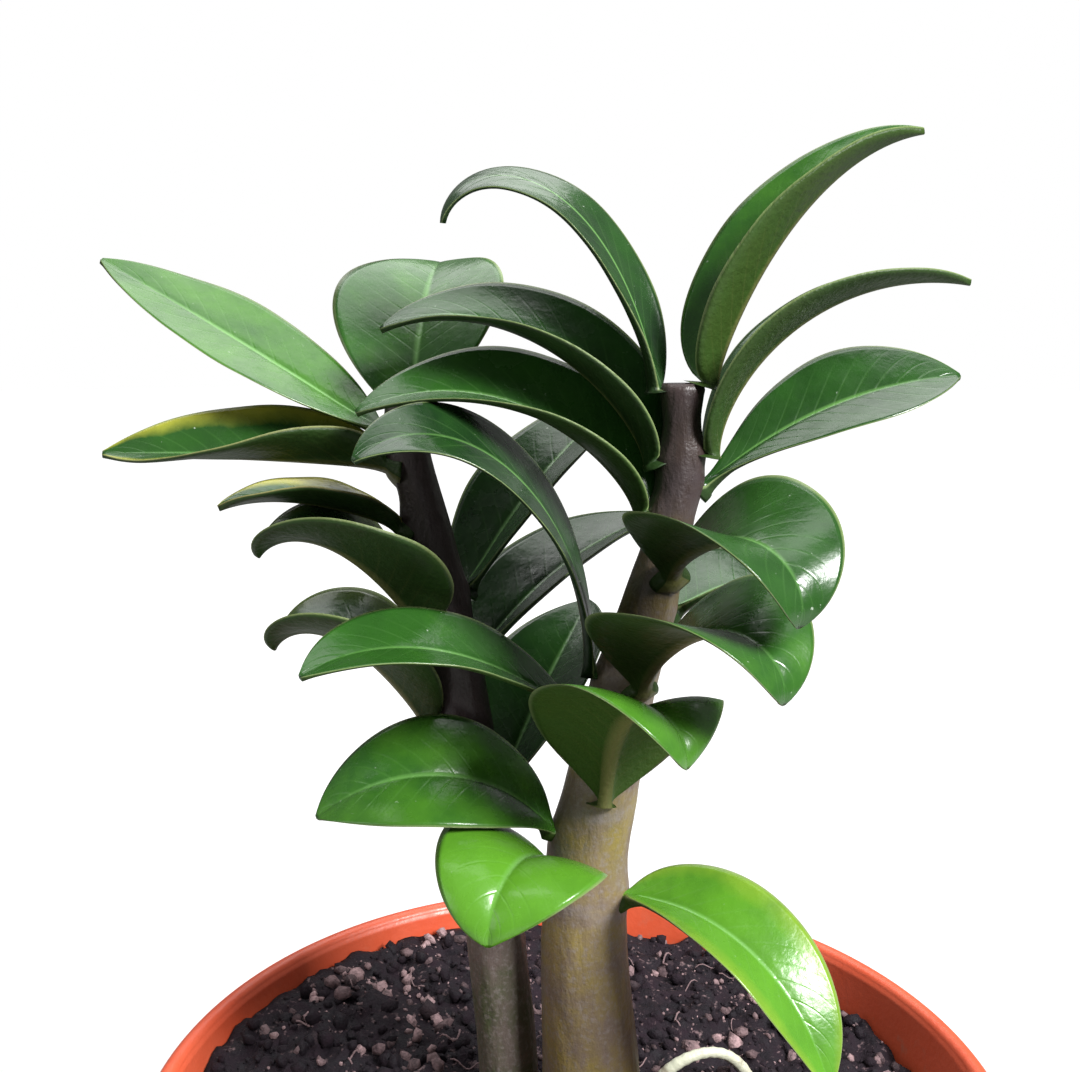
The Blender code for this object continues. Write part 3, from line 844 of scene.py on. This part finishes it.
def blade_half_width(leaf, t):
    """Oval, broadest at its own place, drawn out into a stalk at one end and a point at the other."""
    fall = 0.85
    rise = fall * leaf.broadest / (1 - leaf.broadest)
    peak = leaf.broadest**rise * (1 - leaf.broadest) ** fall
    oval = t**rise * (1 - t) ** fall / peak * leaf.width * MM / 2
    least = STALK_HALF_WIDTH + (TIP_HALF_WIDTH - STALK_HALF_WIDTH) * t
    return math.hypot(oval, least)


def blade_frame(leaf, t):
    """Forward, sideways and upper-side directions of the midrib at t, from 0 at the stem to 1."""
    slope = math.radians(leaf.rise - leaf.arch * t - leaf.hook * t**4)
    heading = math.radians(leaf.heading + leaf.turn * t)
    roll = math.radians(leaf.roll + leaf.twist * t)
    level = Vector((math.cos(heading), math.sin(heading), 0))
    forward = level * math.cos(slope) + Vector((0, 0, math.sin(slope)))
    upper = Vector((0, 0, math.cos(slope))) - level * math.sin(slope)
    side = upper.cross(forward)
    return (
        forward,
        side * math.cos(roll) + upper * math.sin(roll),
        upper * math.cos(roll) - side * math.sin(roll),
    )


def blade_point(leaf, t, across, half_width):
    """Sideways and upward reach of the blade at across, and the angle it has reached there."""
    fold = math.radians(leaf.fold_base + (leaf.fold_tip - leaf.fold_base) * t)
    curl = math.radians(leaf.curl_base + (leaf.curl_tip - leaf.curl_base) * t)
    steps = 8
    reach = half_width * abs(across) / steps
    sideways = 0
    upward = 0
    for step in range(steps):
        angle = fold + curl * abs(across) * (step + 0.5) / steps
        sideways += reach * math.cos(angle)
        upward += reach * math.sin(angle)
    return math.copysign(sideways, across), upward, fold + curl * abs(across)


def blade_ring(leaf, t, midrib, side, upper, seed):
    """The points round one cross-section: over the upper side, then back under the keel."""
    half_width = blade_half_width(leaf, t)
    flesh = NECK_FLESH * math.exp(-t / NECK_LENGTH)
    over, under, marks = [], [], []
    for strip in range(BLADE_STRIPS + 1):
        even = 2 * strip / BLADE_STRIPS - 1
        across = math.copysign(abs(even) ** 1.25, even)
        sideways, upward, angle = blade_point(leaf, t, across, half_width)
        lean = math.copysign(math.sin(angle), across) if strip * 2 != BLADE_STRIPS else 0
        normal = upper * math.cos(angle) - side * lean if lean else upper
        wave = noise.noise(Vector((t * 4.5, across * 1.2, seed))) * EDGE_WAVE * across**2
        wave *= min(1, half_width / (5 * MM))
        surface = midrib + side * sideways + upper * (upward + wave)
        from_rib = across * half_width
        groove = GROOVE_DEPTH * (1 - 0.8 * t) * math.exp(-((from_rib / GROOVE_WIDTH) ** 2))
        groove *= min(1, t / 0.12)
        round_off = math.sqrt(max(0, 1 - across**4))
        crown = flesh * math.sqrt(max(0, 1 - across**2))
        thickness = BLADE_THICKNESS * round_off
        keel = KEEL_HEIGHT * (1 - 0.85 * t) * math.exp(-((from_rib / (1.3 * GROOVE_WIDTH)) ** 2))
        over.append(surface + normal * (crown - groove))
        under.append(surface - normal * (thickness + crown + keel * round_off))
        marks.append((t, across))
    ring = over + under[-2:0:-1]
    return ring, marks + marks[-2:0:-1]


def leaflet_mesh(name, leaf, seed):
    foot, radius = stem_at(leaf.stem, leaf.height * MM)
    heading = math.radians(leaf.heading)
    outward = Vector((math.cos(heading), math.sin(heading), 0))
    midrib = foot + outward * (radius + STALK_STANDOFF)
    side, upper = blade_frame(leaf, 0)[1:]
    rows, marks = [], []
    for ring in range(NECK_RINGS):
        inward = 1 - ring / NECK_RINGS
        neck_centre = midrib - outward * inward**1.3 * (STALK_STANDOFF + 0.45 * radius)
        points, places = blade_ring(leaf, 0, Vector(), side, upper, seed)
        spread = 1 + (NECK_WIDTH / STALK_HALF_WIDTH - 1) * inward
        bow = upper * (-0.3 * MM * inward)
        middle = sum(points, Vector()) / len(points)
        rows.append([neck_centre + middle + (point - middle) * spread + bow for point in points])
        marks.append(places)
    for section in range(BLADE_SECTIONS + 1):
        t = section / BLADE_SECTIONS
        if section:
            ahead = blade_frame(leaf, (section - 0.5) / BLADE_SECTIONS)[0]
            midrib = midrib + ahead * leaf.length * MM / BLADE_SECTIONS
        side, upper = blade_frame(leaf, t)[1:]
        points, places = blade_ring(leaf, t, midrib, side, upper, seed)
        rows.append(points)
        marks.append(places)
    bm = bmesh.new()
    along_layer = bm.verts.layers.float.new("along")
    across_layer = bm.verts.layers.float.new("across")
    tone_and_shading_layer = bm.verts.layers.float.new("tone")
    yellow_layer = bm.verts.layers.float.new("yellow")
    made = skin_rows(bm, rows)
    for row, places in zip(made, marks):
        for vertex, (along, across) in zip(row, places):
            vertex[along_layer] = along
            vertex[across_layer] = across
            # The tone mark carries each leaflet's painted shade or light along with its own colour.
            vertex[tone_and_shading_layer] = leaf.tone
            vertex[yellow_layer] = leaf.yellow
    for near, far in zip(made, made[1:]):
        for step in range(BLADE_STRIPS, len(near)):
            after = (step + 1) % len(near)
            bm.faces.get((near[step], near[after], far[after], far[step])).material_index = 1
    bmesh.ops.recalc_face_normals(bm, faces=bm.faces)
    mesh = bpy.data.meshes.new(name)
    bm.to_mesh(mesh)
    bm.free()
    mesh.shade_smooth()
    return mesh


def read_mark(tree, name):
    return add_node(tree, "ShaderNodeAttribute", {}, attribute_name=name).outputs["Fac"]


def make_veins():
    """Masks for the midrib, the slanting side veins and the pale edge, from the blade's own marks."""
    inputs = (("Along", "Float"), ("Across", "Float"), ("Rib Width", "Float"))
    outputs = (("Rib", "Float"), ("Veins", "Float"), ("Edge", "Float"))
    group, given, result = start_group("leaf_veins", inputs, outputs)
    away = maths(group, "ABSOLUTE", given.outputs["Across"])
    along = given.outputs["Along"]
    rib_ratio = maths(group, "DIVIDE", away, given.outputs["Rib Width"])
    rib = add_node(group, "ShaderNodeClamp", {"Value": maths(group, "SUBTRACT", 1.0, rib_ratio)}).outputs[0]
    rib = maths(group, "MULTIPLY", rib, between(group, along, 1.0, 0.55))
    stepped = maths(group, "MULTIPLY", along, 13.0)
    slanted = maths(group, "SUBTRACT", stepped, maths(group, "MULTIPLY", away, 2.6))
    swing = maths(group, "PINGPONG", slanted, 0.5)
    veins = between(group, swing, 0.10, 0.0)
    veins = maths(group, "MULTIPLY", veins, between(group, away, 0.95, 0.2))
    edge = between(group, away, 0.955, 0.995)
    group.links.new(rib, result.inputs["Rib"])
    group.links.new(veins, result.inputs["Veins"])
    group.links.new(edge, result.inputs["Edge"])
    return group


LEAF_VEINS = make_veins()


def veins_of(tree, rib_width):
    made = tree.nodes.new("ShaderNodeGroup")
    made.node_tree = LEAF_VEINS
    tree.links.new(read_mark(tree, "along"), made.inputs["Along"])
    tree.links.new(read_mark(tree, "across"), made.inputs["Across"])
    made.inputs["Rib Width"].default_value = rib_width
    return made.outputs["Rib"], made.outputs["Veins"], made.outputs["Edge"]


def leaf_upper():
    material, tree, shader = start_material("leaf_upper", 0.3, IOR=1.45)
    place = place_of(tree)
    tone = read_mark(tree, "tone")
    rib, veins, edge = veins_of(tree, 0.055)
    patches = maths(tree, "SUBTRACT", blotches(tree, place, 0.009, 0.5, 0.6), 0.5)
    patchy = maths(tree, "MULTIPLY", patches, 0.35)
    # Painted shade and light: the tone mark draws each leaflet's green from near-black, for those deep
    # inside the plant, to bright, for the lit ones in front; the patches add the blade's own uneven colour.
    shade = maths(tree, "ADD", tone, patchy)
    colour = blend_colours(tree, between(tree, shade, 0.0, 0.5), LEAF_SHADE_DARK, LEAF_MID)
    colour = blend_colours(tree, between(tree, shade, 0.5, 1.0), colour, LEAF_BRIGHT)
    lifted = maths(tree, "MULTIPLY", veins, 0.07)
    colour = blend_colours(tree, lifted, colour, LEAF_MIDRIB)
    colour = blend_colours(tree, maths(tree, "MULTIPLY", rib, 0.62), colour, LEAF_MIDRIB)
    away = maths(tree, "ABSOLUTE", read_mark(tree, "across"))
    fading = between(tree, maths(tree, "ADD", away, patchy), 0.62, 1.0)
    yellowed = maths(tree, "MULTIPLY", fading, read_mark(tree, "yellow"))
    colour = blend_colours(tree, yellowed, colour, LEAF_YELLOW)
    colour = blend_colours(tree, maths(tree, "MULTIPLY", edge, 0.75), colour, LEAF_EDGE)
    specks = blotches(tree, place, 0.0011, 0.275, 0.03)
    colour = blend_colours(tree, maths(tree, "MULTIPLY", specks, 0.45), colour, LEAF_SPECK)
    roughness = between(tree, blotches(tree, place, 0.005, 0.5, 0.5), 0, 1, 0.20, 0.33)
    skin = bumped(tree, grain(tree, place, 0.0022), 0.00016, 0.7)
    normal = bumped(tree, maths(tree, "SUBTRACT", 1.0, veins), 0.00005, 0.6, skin)
    plug(tree, shader, Base_Color=colour, Roughness=roughness, Normal=normal)
    return material


def leaf_under():
    material, tree, shader = start_material("leaf_under", 0.55, IOR=1.4, Specular_IOR_Level=0.3)
    place = place_of(tree)
    tone = read_mark(tree, "tone")
    rib, veins, edge = veins_of(tree, 0.11)
    # Painted shade: the same tone mark darkens the undersides of the leaflets deep inside the plant towards
    # near-black.
    colour = blend_colours(tree, between(tree, tone, 0.1, 0.75), UNDER_SHADE_DARK, UNDER_OLIVE)
    patches = maths(tree, "MULTIPLY", blotches(tree, place, 0.007, 0.5, 0.5), 0.3)
    colour = blend_colours(tree, patches, colour, LEAF_MID)
    colour = blend_colours(tree, maths(tree, "MULTIPLY", veins, 0.12), colour, UNDER_MIDRIB)
    colour = blend_colours(tree, maths(tree, "MULTIPLY", rib, 0.8), colour, UNDER_MIDRIB)
    rusty = maths(tree, "MULTIPLY", read_mark(tree, "yellow"), edge)
    colour = blend_colours(tree, rusty, colour, LEAF_RUST)
    colour = blend_colours(tree, maths(tree, "MULTIPLY", edge, 0.6), colour, LEAF_EDGE)
    roughness = between(tree, patches, 0, 0.3, 0.42, 0.55)
    normal = bumped(tree, grain(tree, place, 0.0010), 0.0002)
    plug(tree, shader, Base_Color=colour, Roughness=roughness, Normal=normal)
    return material


leaf_skins = [leaf_upper(), leaf_under()]
for number, (node, leaf) in enumerate(LEAFLETS.items()):
    blade = leaflet_mesh(node.replace("leaflet", "blade"), leaf, number * 3.7)
    add_piece(blade.name, blade, leaf_skins, "leaf", node)

# Studio
# A plain pale table under soft light: one large window light from the front right, a weaker one from
# the left, and one overhead and behind that glazes the arched leaflets.
FLOOR_RADIUS = 6.0


def floor_mesh():
    mesh = bpy.data.meshes.new("table_top")
    bm = bmesh.new()
    bmesh.ops.create_circle(bm, cap_ends=True, segments=96, radius=FLOOR_RADIUS)
    bm.to_mesh(mesh)
    bm.free()
    return mesh


def table_paper():
    material, tree, shader = start_material("table_paper", 0.8, Emission_Color=(1, 1, 1, 1))
    cloudy = blotches(tree, place_of(tree), 0.4, 0.5, 0.6)
    colour = blend_colours(tree, cloudy, (0.42, 0.42, 0.42, 1), (0.45, 0.45, 0.445, 1))
    seen = add_node(tree, "ShaderNodeLightPath", {}).outputs["Is Camera Ray"]
    reach = add_node(tree, "ShaderNodeVectorMath", {0: place_of(tree)}, operation="LENGTH").outputs["Value"]
    glow = maths(tree, "MULTIPLY", seen, between(tree, reach, 0.08, 0.9, 0.38, 0.95))
    plug(tree, shader, Base_Color=colour, Emission_Strength=glow)
    return material


table = bpy.data.objects.new("table_top", floor_mesh())
table.data.materials.append(table_paper())
bpy.context.scene.collection.objects.link(table)


def add_light(name, place, aim, size, power):
    lamp = bpy.data.lights.new(name, "AREA")
    lamp.size = size
    lamp.energy = power
    light = bpy.data.objects.new(name, lamp)
    light.location = place
    light.rotation_euler = (Vector(aim) - Vector(place)).to_track_quat("-Z", "Y").to_euler()
    bpy.context.scene.collection.objects.link(light)
    return light


plant_heart = (0, 0, 0.20)
add_light("window_light", (0.55, -0.50, 0.78), plant_heart, 0.30, 23)
add_light("left_fill", (-0.9, -0.5, 0.5), plant_heart, 0.6, 2.5)
add_light("overhead_light", (-0.05, 0.30, 1.0), plant_heart, 0.9, 8)

world = bpy.data.worlds.new("studio")
world.use_nodes = True
sky = world.node_tree.nodes["Background"]
seen = add_node(world.node_tree, "ShaderNodeLightPath", {}).outputs["Is Camera Ray"]
strength = between(world.node_tree, seen, 0, 1, 0.24, 1.0)
world.node_tree.links.new(strength, sky.inputs["Strength"])
sky.inputs["Color"].default_value = (1, 1, 1, 1)
bpy.context.scene.world = world
bpy.context.scene.view_settings.view_transform = "Standard"
